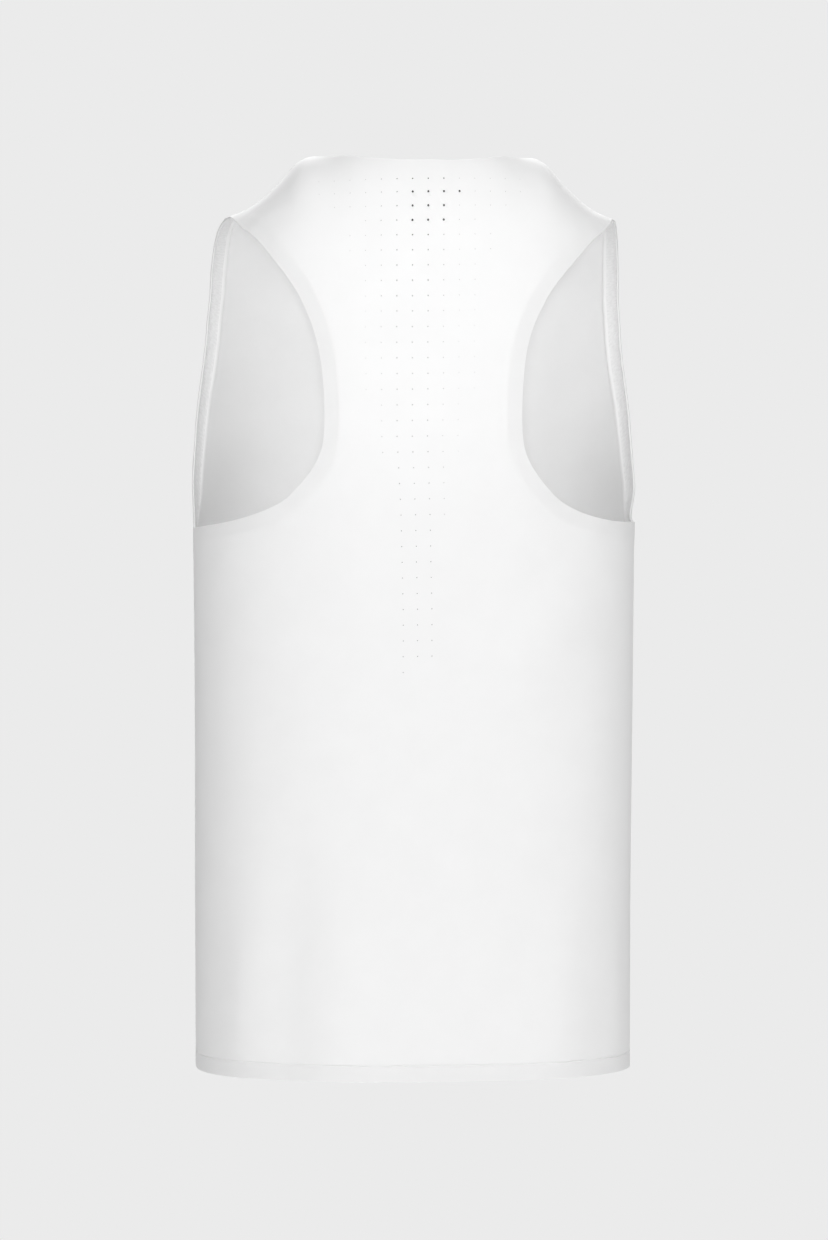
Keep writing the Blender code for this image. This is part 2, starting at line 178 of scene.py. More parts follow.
def on_form(side, flat):
    """Points of the body form for rows of (way round from the centre line, rise over the cloth)."""
    around, rise = flat[:, 0], flat[:, 1]
    turn = np.abs(around) / QUARTER_GIRTH
    across = half_width(rise) * np.interp(turn, TURN, TURN_ACROSS)
    forward = WAY_OUT[side] * depth[side](rise) * np.interp(turn, TURN, TURN_DEPTH)
    closed = (rise - CLOSING_FROM) / CLOSING_LENGTH
    room = shoulder_height(across) - CLOSING_FROM
    closed_height = CLOSING_FROM + room * np.interp(closed, CLOSING, CLOSING_UP)
    height = np.where(closed > 0, closed_height, rise)
    still_open = np.interp(closed, CLOSING, CLOSING_OPEN)
    forward = SHOULDER_FORWARD + (forward - SHOULDER_FORWARD) * still_open
    sway, hitch = lopsided(side, around, rise)
    across = np.copysign(across, around) + sway
    return np.stack([across, forward, height + hitch - HELD_HEIGHT], axis=1)


SMALL_STEP = 0.4 * MM


def steps_on_form(side, flat):
    """How a point moves on the form for a small step round it and for one up it."""
    moves = []
    for step in ((SMALL_STEP, 0), (0, SMALL_STEP)):
        low = np.clip(flat - step, (-QUARTER_GIRTH, 0), (QUARTER_GIRTH, TOP_RISE))
        high = np.clip(flat + step, (-QUARTER_GIRTH, 0), (QUARTER_GIRTH, TOP_RISE))
        run = np.linalg.norm(high - low, axis=1, keepdims=True)
        moves.append((on_form(side, high) - on_form(side, low)) / run)
    return moves


def straight_out(side, flat):
    """Unit directions out of the form."""
    round_way, rise_way = steps_on_form(side, flat)
    out = -WAY_OUT[side] * np.cross(round_way, rise_way)
    return out / np.linalg.norm(out, axis=1, keepdims=True)


print(f"Half the girth at the hem: {2 * QUARTER_GIRTH:.3f} m")

# %% [markdown]
# ## The cutting pattern
# Each row places a point of an edge on the flat cloth: how far round it lies from the centre line,
# and how far up. The back has the deep armholes of a racerback, which leave the shoulder blades
# free, and a high, nearly level neck. The front is wider between the arms and has a scooped neck.
# Both shoulders are alike, so one half is written down and the other is its mirror image.

# %% Edges of the flat cut
EDGE_POINTS = 120  # along an armhole
NECK_POINTS = 60
FINE_STEPS = 16  # between two rows of an edge
SHOULDER_TIP = (0.1460, TOP_RISE)
NECK_CORNER = (0.0828, TOP_RISE)
ARMHOLE = {
    "back": (
        (QUARTER_GIRTH, SIDE_SEAM), (0.1822, 0.4258), (0.1560, 0.4272), (0.1360, 0.4304),
        (0.1175, 0.4359), (0.1050, 0.4418), (0.0931, 0.4514), (0.0826, 0.4628), (0.0764, 0.4722),
        (0.0724, 0.4815), (0.0702, 0.4950), (0.0694, 0.5120), (0.0700, 0.5320), (0.0722, 0.5540),
        (0.0777, 0.5765), (0.0858, 0.5952), (0.0953, 0.6118), (0.1059, 0.6306), (0.1190, 0.6577),
        (0.1346, 0.6900), SHOULDER_TIP,
    ),
    "front": (
        (QUARTER_GIRTH, SIDE_SEAM), (0.2253, 0.4295), (0.2119, 0.4430), (0.1996, 0.4640),
        (0.1870, 0.4930), (0.1770, 0.5270), (0.1672, 0.5650), (0.1619, 0.6166), (0.1594, 0.6654),
        (0.1538, 0.7057), SHOULDER_TIP,
    ),
}
NECK = {
    "back": (
        (0, 0.6783), (0.0250, 0.6805), (0.0430, 0.6872), (0.0570, 0.6985), (0.0700, 0.7115),
        (0.0785, 0.7230), NECK_CORNER,
    ),
    "front": (
        (0, 0.6049), (0.0199, 0.6062), (0.0407, 0.6136), (0.0580, 0.6305), (0.0708, 0.6660),
        (0.0791, 0.6982), NECK_CORNER,
    ),
}


def length_along(line):
    """How far along a line each of its points lies."""
    return np.concatenate([[0], np.cumsum(np.linalg.norm(np.diff(line, axis=0), axis=1))])


def even_points(line, count):
    """Points at even steps along a line."""
    length = length_along(line)
    even = np.linspace(0, length[-1], count + 1)
    return np.stack([np.interp(even, length, line[:, k]) for k in (0, 1)], axis=1)


def smooth_line(rows, count=EDGE_POINTS):
    """Points at even steps along a smooth line through the rows of an edge."""
    line = np.array(rows, float)
    at = length_along(line)
    slope = np.gradient(line, at, axis=0)
    fine = [line[:1]]
    s = np.linspace(0, 1, FINE_STEPS + 1)[1:, None]
    for i in range(len(line) - 1):
        gap = at[i + 1] - at[i]
        fine.append(cubic(line[i], slope[i] * gap, line[i + 1], slope[i + 1] * gap, s))
    return even_points(np.concatenate(fine), count)


def inside_armhole(side, distance, count=EDGE_POINTS):
    """The line that keeps this distance from an armhole's edge, measured over the cloth."""
    edge = smooth_line(ARMHOLE[side], count)
    along = np.gradient(edge, axis=0)
    round_way, rise_way = steps_on_form(side, edge)
    edge_way = round_way * along[:, :1] + rise_way * along[:, 1:]
    inward = np.stack([-(rise_way * edge_way).sum(1), (round_way * edge_way).sum(1)], axis=1)
    move = round_way * inward[:, :1] + rise_way * inward[:, 1:]
    line = edge + inward * distance / np.linalg.norm(move, axis=1, keepdims=True)
    tip = half_width(TOP_RISE) * np.interp(SHOULDER_TIP[0] / QUARTER_GIRTH, TURN, TURN_ACROSS)
    fall = shoulder_height(tip - distance) - shoulder_height(tip)
    across = tip - distance / math.hypot(1, fall / distance)
    turn = np.interp(across / half_width(TOP_RISE), TURN_ACROSS, TURN)
    line[0] = (QUARTER_GIRTH, SIDE_SEAM - distance)
    line[-1] = (turn * QUARTER_GIRTH, TOP_RISE)
    return line


for side in WAY_OUT:
    print(f"{side}: armhole {len(ARMHOLE[side])} rows, neck {len(NECK[side])} rows")

# %% [markdown]
# ## Cutting the flat cloth
# The cloth starts as one rectangular grid. Its columns are 3.5 mm apart, and its rows 4 mm or,
# near the shoulders, 3 mm, so it bends smoothly and each hole gets a vertex of its own. Shears
# split the cells where a line crosses them, and a vertex that lies almost on the line is first
# drawn on to it, so no sliver is left. The same cut without taking anything away scores a line,
# for the small steps over the tape and at the hem. A knife projection would need the editor's
# window, and a boolean would leave long thin faces.

# %% A grid of cloth
def new_grid(columns, rows):
    """A flat grid, with its columns numbered along X and its rows along Y."""
    grid = bmesh.new()
    bmesh.ops.create_grid(grid, x_segments=columns, y_segments=rows, size=0.5)
    bmesh.ops.translate(grid, vec=(0.5, 0.5, 0), verts=grid.verts)
    bmesh.ops.scale(grid, vec=(columns, rows, 1), verts=grid.verts)
    return grid


COLUMN = 3.5 * MM
COLUMNS = 135
LOWER_ROWS = 147
UPPER_ROWS = 53
ROW_PLACES = (0, 1, LOWER_ROWS, LOWER_ROWS + UPPER_ROWS)
ROW_RISES = (0, 2 * MM, 0.586, TOP_RISE)
SEAM_RIDGE = 3 * MM
SEAM_COLUMNS = {  # the outermost column lies on the seam, and the next one beside its ridge
    COLUMNS / 2: QUARTER_GIRTH, COLUMNS / 2 - 1: QUARTER_GIRTH - SEAM_RIDGE,
}


def new_cloth():
    """A flat sheet, centred on its vertical middle line, with its lower edge at zero."""
    cloth = new_grid(COLUMNS, LOWER_ROWS + UPPER_ROWS)
    for vert in cloth.verts:
        column = round(vert.co.x) - COLUMNS / 2
        place = SEAM_COLUMNS.get(abs(column), abs(column) * COLUMN)
        vert.co.x = math.copysign(place, column)
        vert.co.y = float(np.interp(round(vert.co.y), ROW_PLACES, ROW_RISES))
    return cloth


# %% Shears that follow a line
NEARLY = 0.9 * MM  # a vertex this near a line is drawn on to it
PAST_END = 6 * MM  # a line is led straight on by this much at both ends


def beside(line, flat):
    """How far points lie to the left of a line or its mirror image, and the nearest place on it."""
    flat = np.stack([np.abs(flat[:, 0]), flat[:, 1]], axis=1)
    first, last = line[0] - line[1], line[-1] - line[-2]
    start = line[0] + first / np.linalg.norm(first) * PAST_END
    end = line[-1] + last / np.linalg.norm(last) * PAST_END
    line = np.concatenate([[start], line, [end]])
    start, run = line[:-1], np.diff(line, axis=0)
    reach = flat[:, None] - start[None]
    share = np.clip((reach * run).sum(2) / (run * run).sum(1), 0, 1)
    off = reach - share[..., None] * run
    gap = np.linalg.norm(off, axis=2)
    best = gap.argmin(1)
    pick = np.arange(len(flat))
    turn = run[best, 0] * reach[pick, best, 1] - run[best, 1] * reach[pick, best, 0]
    return np.copysign(gap[pick, best], turn), flat - off[pick, best]


def score(cloth, line):
    """Splits the cells under a line and under its mirror image, and keeps both sides."""
    verts = list(cloth.verts)
    away, near = beside(line, np.array([vert.co for vert in verts]))
    off = dict(zip(verts, away))
    on_line = []
    for vert, gap, place in zip(verts, away, near):
        if abs(gap) < NEARLY and not vert.is_boundary:
            vert.co.x, vert.co.y = math.copysign(place[0], vert.co.x), place[1]
            off[vert] = 0
            on_line.append(vert)
    crossed = [edge for edge in cloth.edges if off[edge.verts[0]] * off[edge.verts[1]] < 0]
    for edge in crossed:
        first, second = edge.verts
        share = off[first] / (off[first] - off[second])
        on_line.append(bmesh.utils.edge_split(edge, first, share)[1])
    bmesh.ops.connect_verts(cloth, verts=on_line)


def shear(cloth, line):
    """Cuts along a line and takes away the cloth on its right."""
    score(cloth, line)
    away, _ = beside(line, np.array([face.calc_center_median() for face in cloth.faces]))
    waste = [face for face, gap in zip(cloth.faces, away) if gap < 0]
    bmesh.ops.delete(cloth, geom=waste, context="FACES")


# %% Cut both panels
EDGE_STEP = 1.4 * MM  # width of the small step where the bonded tape ends
GROOVE_REACH = 0.5 * MM  # to each side of the line where the hem ends
SLIVER = 0.25 * MM
panels = {}
for side in WAY_OUT:
    cloth = new_cloth()
    shear(cloth, smooth_line(ARMHOLE[side]))
    shear(cloth, smooth_line(NECK[side], NECK_POINTS)[::-1])
    for distance in (TAPE_WIDTH - EDGE_STEP / 2, TAPE_WIDTH + EDGE_STEP / 2):
        score(cloth, inside_armhole(side, distance))
    for rise in (HEM_DEPTH - GROOVE_REACH, HEM_DEPTH, HEM_DEPTH + GROOVE_REACH):
        geom = [*cloth.verts, *cloth.edges, *cloth.faces]
        bmesh.ops.bisect_plane(cloth, geom=geom, plane_co=(0, rise, 0), plane_no=(0, 1, 0))
    bmesh.ops.remove_doubles(cloth, verts=cloth.verts, dist=SLIVER)
    panels[side] = cloth
    shortest = min(edge.calc_length() for edge in cloth.edges)
    print(f"{side}: {len(cloth.faces)} cells, with no edge under {shortest / MM:.2f} mm")

# %% [markdown]
# ## Punching the holes
# A laser punches round holes through the back, half a millimetre to nearly one and a half wide and
# about 12 mm apart. The field is widest under the neck, keeps four columns a side over the
# shoulder blades and narrows to three columns below the waist. For each hole the nearest vertex is
# moved to its place, and a vertex bevel opens a patch of small faces there. The patch's outer
# corners are spread round a circle, and the patch is taken out. A texture could fake the holes,
# but only real ones let light through and keep their rims in a close view.

# %% Places of the holes
HOLES_A_SIDE = (7, 7, 6, 4, 5, 5, 4, 4, 4, 4, 4, 4, 4, 4, 4, 3, 3, 3, 3, 2, 2, 2, 2)
LAST_ROWS = ((-2, 1),) * 9 + ((-2, -1),)  # below those, from this column to before that one
HOLE_COLUMN = 10.8 * MM
HOLE_ROW = 11.95 * MM
FIRST_ROW = 0.6886  # height of the top row on the body
TOP_ROW_GAPS = (10.4, 11.0, 11.2, 11.4, 11.6, 11.6, 11.7, 11.8, 11.6)  # mm
LEAN_ROWS = (3, 9, 13, 17, 22, 28)
LEAN = (-4.1, -2.4, -2.2, -2.6, -0.4, 1.2)  # mm that the field drifts round at those rows
TILT = 0.022  # how steeply the rows climb round the body
RADII = (0.44 * MM, 0.43 * MM, 0.32 * MM, 0.23 * MM)  # from the middle column outwards
LOW_ROWS = range(20, 33)
# The walls of these holes are painted near black: painted shade for the dark seen through them.
DARK_ROWS = {  # holes with dark walls: from this column to before that one, and their radius
    0: (-1, 2, 0.43 * MM), 1: (-1, 3, 0.70 * MM), 2: (-1, 2, 0.70 * MM), 3: (-1, 2, 0.70 * MM),
    4: (-1, 1, 0.43 * MM), **dict.fromkeys(LOW_ROWS, (-2, 1, 0.32 * MM)),
}
NO_DARK = (0, 0, 0)
Hole = namedtuple("Hole", "place radius dark")


def rise_at(around, height):
    """How far up the flat cloth a point of the back lies that has this height on the body."""
    rises = np.linspace(0, TOP_RISE - 1 * MM, 400)
    column = np.stack([np.full_like(rises, around), rises], axis=1)
    return float(np.interp(height, on_form("back", column)[:, 2] + HELD_HEIGHT, rises))


def hole_places():
    """Every hole, row by row. Column 0 starts just past the middle."""
    spans = tuple((-count, count) for count in HOLES_A_SIDE) + LAST_ROWS
    height = FIRST_ROW
    holes = []
    for row, span in enumerate(spans):
        lean = float(np.interp(row, LEAN_ROWS, LEAN)) * MM
        first_dark, past_dark, dark_radius = DARK_ROWS.get(row, NO_DARK)
        for column in range(*span):
            around = (column + 0.5) * HOLE_COLUMN + lean
            dark = first_dark <= column < past_dark
            radius = dark_radius if dark else RADII[min(abs(column + 1), len(RADII) - 1)]
            place = Vector((around, rise_at(around, height + TILT * around), 0))
            holes.append(Hole(place, radius, dark))
        height -= TOP_ROW_GAPS[row] * MM if row < len(TOP_ROW_GAPS) else HOLE_ROW
    return holes


HOLES = hole_places()
print(f"{len(HOLES)} holes, {HOLES[-1].place.y:.3f} to {HOLES[0].place.y:.3f} m up the cut")


# %% Punch them
RIM_SEGMENTS = 3  # in each quarter of a hole's rim
PLUG_AREA = 4  # a patch's faces are smaller than this many squares of the radius


def tree_of(places):
    """A search tree of places on the flat cloth."""
    tree = kdtree.KDTree(len(places))
    for number, place in enumerate(places):
        tree.insert((place.x, place.y, 0), number)
    tree.balance()
    return tree


def make_round(plugs, holes, middles, radius):
    """Spreads the outer corners of the small faces at even steps round their hole."""
    inside = set(plugs)
    rims = [[] for _ in holes]
    for corner in {corner for plug in plugs for corner in plug.verts}:
        if any(face not in inside for face in corner.link_faces):
            rims[middles.find(corner.co)[1]].append(corner)
    for hole, rim in zip(holes, rims):
        if not rim:
            continue
        turns = {corner: math.atan2(*(corner.co - hole.place).yx) for corner in rim}
        rim.sort(key=turns.get)
        step = math.tau / len(rim)
        first = sum(turns[corner] - k * step for k, corner in enumerate(rim)) / len(rim)
        for k, corner in enumerate(rim):
            turn = first + k * step
            corner.co = hole.place + radius * Vector((math.cos(turn), math.sin(turn), 0))


def punch(cloth, holes):
    verts = list(cloth.verts)
    tree = tree_of([vert.co for vert in verts])
    taken = [verts[tree.find(hole.place)[1]] for hole in holes]
    for vert, hole in zip(taken, holes):
        vert.co = hole.place
    middles = tree_of([hole.place for hole in holes])
    plugs_taken = 0
    for radius in sorted({hole.radius for hole in holes}):
        group = [vert for vert, hole in zip(taken, holes) if hole.radius == radius]
        made = bmesh.ops.bevel(
            cloth, geom=group, offset=radius, offset_type="OFFSET", affect="VERTICES",
            segments=RIM_SEGMENTS, profile=0.5, material=-1,
        )
        plugs = [face for face in made["faces"] if face.calc_area() < PLUG_AREA * radius**2]
        plugs_taken += len(plugs)
        make_round(plugs, holes, middles, radius)
        bmesh.ops.delete(cloth, geom=plugs, context="FACES")
    return plugs_taken


print(f"{punch(panels['back'], HOLES)} small faces taken out of the back")

# %% [markdown]
# ## Soft forms of the worn cloth
# On a body the knit is nearly smooth, but never quite. Wide ridges and troughs run down from the
# shoulder blades, from the armholes towards the waist, and up from the hem. Each is one row of a
# table: where its foot and its head are on the flat cloth, how wide it is and how far it lifts.
# The larger ones are in the solid model too. The finer creases, and a slow unevenness from noise,
# are made here. A cloth simulation would give folds of its own, but not these ones in these
# places.

# %% Folds, from foot to head
Fold = namedtuple("Fold", "foot_round foot_rise head_round head_rise spread lift")
FOLDS = {
    "back": (
        Fold(0.006, 0.300, 0.004, 0.660, 0.032, -0.0030),
        Fold(-0.064, 0.420, -0.056, 0.600, 0.024, 0.0022),
        Fold(0.066, 0.400, 0.058, 0.590, 0.024, 0.0024),
        Fold(0.030, 0.250, 0.140, 0.395, 0.022, 0.0024),
        Fold(-0.110, -0.040, -0.094, 0.220, 0.020, -0.0026),
        Fold(-0.064, -0.050, -0.058, 0.180, 0.022, 0.0020),
        Fold(0.114, -0.030, 0.106, 0.160, 0.024, 0.0018),
    ),
    "front": (
        Fold(0.000, 0.300, 0.004, 0.560, 0.034, -0.0026),
        Fold(-0.124, 0.470, -0.050, 0.330, 0.022, 0.0024),
        Fold(0.128, 0.480, 0.060, 0.320, 0.024, 0.0022),
        Fold(0.074, -0.040, 0.090, 0.210, 0.022, -0.0026),
        Fold(-0.086, -0.030, -0.074, 0.150, 0.024, 0.0022),
    ),
}
FOLD_FADE = 0.080
CREASES = {
    "back": (
        Fold(-0.206, 0.372, -0.128, 0.404, 0.009, 0.0008),
        Fold(0.212, 0.356, 0.136, 0.398, 0.010, 0.0009),
        Fold(0.202, 0.318, 0.120, 0.350, 0.012, -0.0007),
        Fold(-0.150, -0.010, -0.140, 0.120, 0.012, 0.0009),
        Fold(-0.030, -0.010, -0.034, 0.095, 0.014, -0.0006),
        Fold(0.066, -0.010, 0.070, 0.110, 0.012, -0.0007),
        Fold(0.172, -0.010, 0.166, 0.130, 0.011, 0.0008),
    ),
    "front": (
        Fold(-0.214, 0.360, -0.150, 0.400, 0.010, 0.0009),
        Fold(0.210, 0.366, 0.150, 0.410, 0.010, 0.0008),
        Fold(-0.140, 0.560, -0.090, 0.500, 0.012, 0.0007),
        Fold(0.142, 0.552, 0.094, 0.490, 0.012, -0.0007),
        Fold(0.020, -0.010, 0.026, 0.110, 0.014, 0.0007),
        Fold(-0.160, -0.010, -0.152, 0.120, 0.012, -0.0008),
    ),
}
CREASE_FADE = 0.035
FLARE = 0.0045  # the front stands off beside one armhole
FLARE_ROUND = (0.110, 0.180)
FLARE_FOOT = (SIDE_SEAM, SIDE_SEAM + 0.030)
FLARE_HEAD = (TOP_RISE - 0.040, TOP_RISE - 0.200)
CURL = 0.0042  # and both its armhole edges curl outwards by this much
CURL_NEAR = (0, 0.014)
CURL_FAR = (0.085, 0.014)
SWELL = 0.7 * MM  # strength of the slow unevenness


def uneven(flat, across, up, seed):
    """Slow noise over the flat cloth, about -0.6 to 0.6."""
    return np.array([noise.noise((x * across, y * up, seed)) for x, y in flat])


def lift_of(folds, fade, flat):
    """The height of all these folds, each of which fades over this length at its ends."""
    lift = np.zeros(len(flat))
    for fold in folds:
        foot = np.array((fold.foot_round, fold.foot_rise))
        run = np.array((fold.head_round, fold.head_rise)) - foot
        length = np.linalg.norm(run)
        way = run / length
        from_foot = flat - foot
        along = from_foot @ way
        aside = from_foot[:, 0] * way[1] - from_foot[:, 1] * way[0]
        ends = soft_step(along / fade) * soft_step((length - along) / fade)
        lift += fold.lift * ends * np.exp(-((aside / fold.spread) ** 2))
    return lift


def worn_lift(side, flat):
    """How far the cloth stands off the form. It dies out at the seams, so the pieces meet there."""
    around, rise = flat[:, 0], flat[:, 1]
    to_side = soft_step((QUARTER_GIRTH - np.abs(around)) / FOLD_FADE)
    to_top = soft_step((TOP_RISE - rise) / FOLD_FADE)
    slow = SWELL * uneven(flat, 14, 11, WAY_OUT[side] * 3.7)
    fine = lift_of(CREASES[side], CREASE_FADE, flat) + slow
    worn = (lift_of(FOLDS[side], FOLD_FADE, flat) + fine) * to_side * to_top
    if side == "front":
        foot = ramp(rise, *FLARE_FOOT)
        worn += FLARE * ramp(around, *FLARE_ROUND) * foot * ramp(rise, *FLARE_HEAD)
        inside, _ = beside(smooth_line(ARMHOLE[side]), flat)
        worn -= CURL * ramp(inside, *CURL_NEAR) * ramp(inside, *CURL_FAR) * foot * to_top
    return worn


# %% [markdown]
# ## Small steps at the edges
# Where the tape and the hem lie under the cloth, it is pressed a little proud, and it dips in a
# fine line where the hem ends. The side and shoulder seams stand up as low ridges. The scored
# lines of the flat cut hold these steps sharp.

# %% Height of the pressed edges
TAPE_STEP = 0.20 * MM
HEM_STEP = 0.15 * MM
HEM_GROOVE = 0.65 * MM
RIDGE = 0.35 * MM
RIPPLE = 0.48 * MM  # the bonded edge is never quite flat
RIPPLE_REACH = 14 * MM
RIPPLE_FADE = 20 * MM  # towards the seams


def pressed_lift(side, flat):
    """How far the tape, the hem and the seams lift the cloth."""
    gap, _ = beside(inside_armhole(side, TAPE_WIDTH), flat)
    over_tape = soft_step(0.5 - gap / EDGE_STEP)
    above_hem = flat[:, 1] - HEM_DEPTH
    over_hem = soft_step(0.5 - above_hem / (2 * GROOVE_REACH))
    groove = np.clip(1 - np.abs(above_hem) / GROOVE_REACH, 0, 1)
    groove = groove * np.clip(0.75 + 0.8 * uneven(flat, 40, 1, 5.0), 0.3, 1.2)
    to_side, to_top = QUARTER_GIRTH - np.abs(flat[:, 0]), TOP_RISE - flat[:, 1]
    ridge = soft_step(2 - np.minimum(to_side, to_top * 1.2) / SEAM_RIDGE)
    near_edge = soft_step(1 - gap / RIPPLE_REACH) * soft_step(to_top / RIPPLE_FADE)
    ripple = RIPPLE * uneven(flat, 62, 62, 9.0) * near_edge * soft_step(to_side / RIPPLE_FADE)
    edges = TAPE_STEP * over_tape * (1 - ridge) + ripple
    return edges + HEM_STEP * over_hem - HEM_GROOVE * groove + RIDGE * ridge


def stand_off(side, flat):
    """Whole distance of the cloth's outer face from the form."""
    return worn_lift(side, flat) + pressed_lift(side, flat)


print(f"The pressed tape stands {TAPE_STEP / MM:.2f} mm proud, and the seams {RIDGE / MM:.2f} mm")

# %% [markdown]
# ## Giving the cloth its thickness
# The knit is 0.7 mm thick. While it is still flat, an inner layer is extruded and moved down by
# that much, which also closes the edges and the walls of the holes. A Solidify modifier works
# along the bent surface instead, while this way both layers end exactly in the planes of the
# seams. The flat place of every corner goes into the UV map in metres, so the knit follows the
# cut.

# %% Thicken the flat cloth
CLOTH = 0.7 * MM


def thicken(cloth, thickness):
    """Adds a lower layer to a flat sheet and closes it all round."""
    grown = bmesh.ops.extrude_face_region(cloth, geom=cloth.faces[:], use_keep_orig=True)
    lower = [item for item in grown["geom"] if isinstance(item, bmesh.types.BMVert)]
    bmesh.ops.translate(cloth, vec=(0, 0, -thickness), verts=lower)
    bmesh.ops.recalc_face_normals(cloth, faces=cloth.faces)
    return lower


def keep_flat_place(cloth, place=lambda vert: vert.co.xy):
    """Writes the flat cut into the UV map, in metres."""
    layer = cloth.loops.layers.uv.new("cut")
    for face in cloth.faces:
        for loop in face.loops:
            loop[layer].uv = place(loop.vert)


# %% Taper the holes
SHADED_CUT_EDGE, SHADED_HOLE_EDGE, SHADE_BLACK_HOLE = 1, 2, 3  # places among a panel's materials
HOLE_TAPER = 0.38  # the heat of the laser narrows a hole towards the inside
DARK_TAPER = 0.20
RIM_REACH = 1.6  # a rim's vertices lie within this many radii
for side, cloth in panels.items():
    lower = thicken(cloth, CLOTH)
    keep_flat_place(cloth)
    walls = {face for face in cloth.faces if abs(face.normal.z) < 0.5}
    # Every cut edge takes a greyer copy of the knit: painted shade along the edges.
    for face in walls:
        face.material_index = SHADED_CUT_EDGE
    tree = tree_of([vert.co for vert in lower])
    for hole in HOLES if side == "back" else ():
        found = tree.find_range(hole.place, hole.radius * RIM_REACH)
        rim = [lower[number] for _, number, _ in found]
        centre = Matrix.Translation(-hole.place)
        taper = DARK_TAPER if hole.dark else HOLE_TAPER
        bmesh.ops.scale(cloth, vec=(taper, taper, 1), space=centre, verts=rim)
        # The walls of each hole take a grey copy of the knit, or a near-black one in the darkest
        # holes: painted shade for the dark seen through the hole.
        for face in walls.intersection(face for vert in rim for face in vert.link_faces):
            face.material_index = SHADE_BLACK_HOLE if hole.dark else SHADED_HOLE_EDGE
    print(f"{side}: {len(cloth.faces)} faces, {len(walls)} of them in cut edges")

# %% [markdown]
# ## Wrapping it round the body
# Every vertex moves to its place on the form, and then straight out by the height of the folds and
# steps, less its depth in the cloth. Shade smooth with a sharp limit keeps the cut edges crisp.

# %% Wrap
def wrap(sheet, side, lift=stand_off, verts=None):
    """Moves flat vertices on to the form. Their own height counts outwards."""
    verts = list(verts or sheet.verts)
    flat = np.array([vert.co for vert in verts])
    height = lift(side, flat[:, :2]) + flat[:, 2]
    places = on_form(side, flat[:, :2]) + straight_out(side, flat[:, :2]) * height[:, None]
    for vert, place in zip(verts, places):
        vert.co = place


def mesh_of(name, made):
    """Turns a shape into a mesh."""
    data = bpy.data.meshes.new(name)
    made.to_mesh(data)
    made.free()
    return data


def add_object(name, data):
    """Puts an object with this mesh, lamp or camera into the scene."""
    made = bpy.data.objects.new(name, data)
    bpy.context.scene.collection.objects.link(made)
    return made


def add_piece(name, made, crease=50):
    """Makes the shape an object at the origin. Faces point out of the material."""
    if made.calc_volume(signed=True) < 0:
        bmesh.ops.reverse_faces(made, faces=made.faces)
    data = mesh_of(name, made)
    data.shade_smooth()
    data.set_sharp_from_angle(angle=math.radians(crease))
    return add_object(name, data)


def one_layer(made):
    """Area of one side of a thin wall."""
    return sum(face.calc_area() for face in made.faces) / 2


pieces = {}
for side, cloth in panels.items():
    wrap(cloth, side)
    name = f"{side}_cloth"
    one_layer(cloth)
    pieces[name] = add_piece(name, cloth)

# %% [markdown]
# ## The turned-up hem
# The lower 12.5 mm is turned up inside and bonded, with no stitches. From outside it shows as one
# fine dent, which the panels already have. The turned-up part is a strip of the same knit just
# inside. It runs into the panel at the fold, and its upper edge is cut.

# %% Make the hems
HEM_ROWS = (0.0, 0.7, 1.6, 4.0, 7.0, 10.0, 12.5)  # mm above the lower edge
HEM_DEPTHS = (0.60, 0.95, 1.15, 1.20, 1.20, 1.20, 1.20)  # mm that the strip lies in from the face
for side in WAY_OUT:
    strip = new_grid(COLUMNS, len(HEM_ROWS) - 1)
    thicken(strip, CLOTH)
    for vert in strip.verts:
        row = round(vert.co.y)
        around = (vert.co.x / COLUMNS - 0.5) * 2 * QUARTER_GIRTH
        vert.co = (around, HEM_ROWS[row] * MM, vert.co.z - HEM_DEPTHS[row] * MM)
    keep_flat_place(strip)
    wrap(strip, side, lift=worn_lift)
    name = f"{side}_hem"
    one_layer(strip)
    pieces[name] = add_piece(name, strip)

# %% [markdown]
# ## The armhole tape
# A soft elastic tape, 12 mm wide, is bonded inside the whole edge of each armhole. It has a thin
# rib along the cut edge and a rounded ridge along its inner line, and both catch the light where
# the inside of the front shows through the armholes; their colour is also painted lighter, as a
# painted highlight. One strip runs from the side seam up the back, over the shoulder and down the
# front, and its two ends are welded at the side. A curve with a drawn profile would twist where the
# edge turns, while a strip on the form stays flat against the cloth.

# %% Section of the tape
TapeRow = namedtuple("TapeRow", "inside height")  # mm from the armhole's edge, and thickness
TAPE_ROWS = [TapeRow(*row) for row in (
    (0.00, 0.55), (0.12, 0.80), (0.45, 0.95), (0.95, 0.90), (1.30, 0.64), (1.70, 0.56),
    (4.00, 0.54), (6.20, 0.54), (7.70, 0.56), (8.20, 0.84), (8.90, 1.22), (9.80, 1.40),
    (10.8, 1.32), (11.6, 0.98), (12.0, 0.50),
)]
TAPE_STEPS = 170  # along the back's armhole, and as many along the front's
TAPE_BED = CLOTH - TAPE_STEP + 0.06 * MM  # from the worn face of the cloth to the tape
WELD = 0.4 * MM

# %% Lay the tapes
def tape_line(side, inside):
    """Even points along the line that keeps this distance from the armhole's edge."""
    line = inside_armhole(side, max(inside, 0.001) * MM, TAPE_STEPS)
    on_cloth = (line[1:-1, 0] < QUARTER_GIRTH) & (line[1:-1, 1] < TOP_RISE)
    line = np.concatenate([line[:1], line[1:-1][on_cloth], line[-1:]])
    return even_points(line, TAPE_STEPS)


tape_lines = {
    side: np.array([tape_line(side, row.inside) for row in TAPE_ROWS]) for side in WAY_OUT
}


